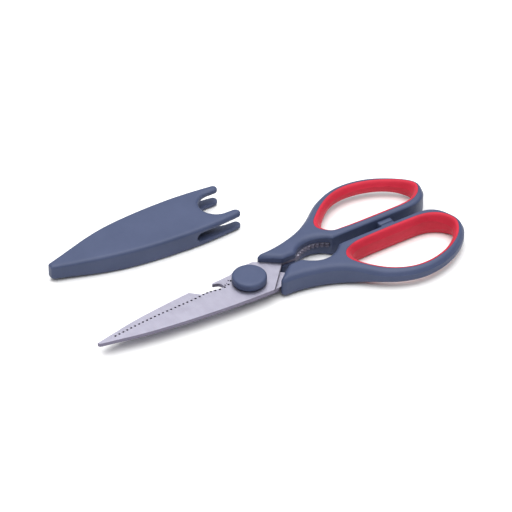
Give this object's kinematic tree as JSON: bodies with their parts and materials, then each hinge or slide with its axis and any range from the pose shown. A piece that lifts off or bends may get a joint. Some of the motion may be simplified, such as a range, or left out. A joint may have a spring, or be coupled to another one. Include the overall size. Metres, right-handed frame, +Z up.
{
  "type": "poultry shears",
  "caption": "Poultry shears with a serrated upper blade, a nutcracker in two-colour soft grip handles, a capped pivot and a separate blade sheath lying beside them.",
  "frame": {"origin": "middle of the base of the whole object's bounding box, on the table that it lies on", "axes": "+X from the blade tips towards the handles, +Y across the shears towards the sheath, +Z up along the pivot"},
  "size_m": [0.2036, 0.1177, 0.0127],
  "materials": {
    "brushed_steel": "fine brushed satin",
    "slate_plastic": "satin moulded",
    "red_rubber": "soft matte"
  },
  "bodies": {
    "lower_half": {"lower_blade": "brushed_steel", "lower_handle": "slate_plastic", "lower_grip": "red_rubber", "pivot_screw": "brushed_steel", "pivot_washer": "brushed_steel", "pivot_nut": "brushed_steel", "pivot_cap": "slate_plastic"},
    "upper_half": {"upper_blade": "brushed_steel", "upper_handle": "slate_plastic", "upper_grip": "red_rubber"},
    "sheath": {"sheath": "slate_plastic"}
  },
  "joints": [
    {"name": "pivot_hinge", "type": "hinge", "parent": "lower_half", "child": "upper_half", "pos_m": [-0.0149, -0.01805, 0.00635], "axis": [0, 0, 1], "range_deg": [0, 32]},
    {"name": "sheath_slide", "type": "slide", "parent": "lower_half", "child": "sheath", "axis": [-0.9997, 0.0262, 0], "range_m": [0, 0.1]}
  ]
}
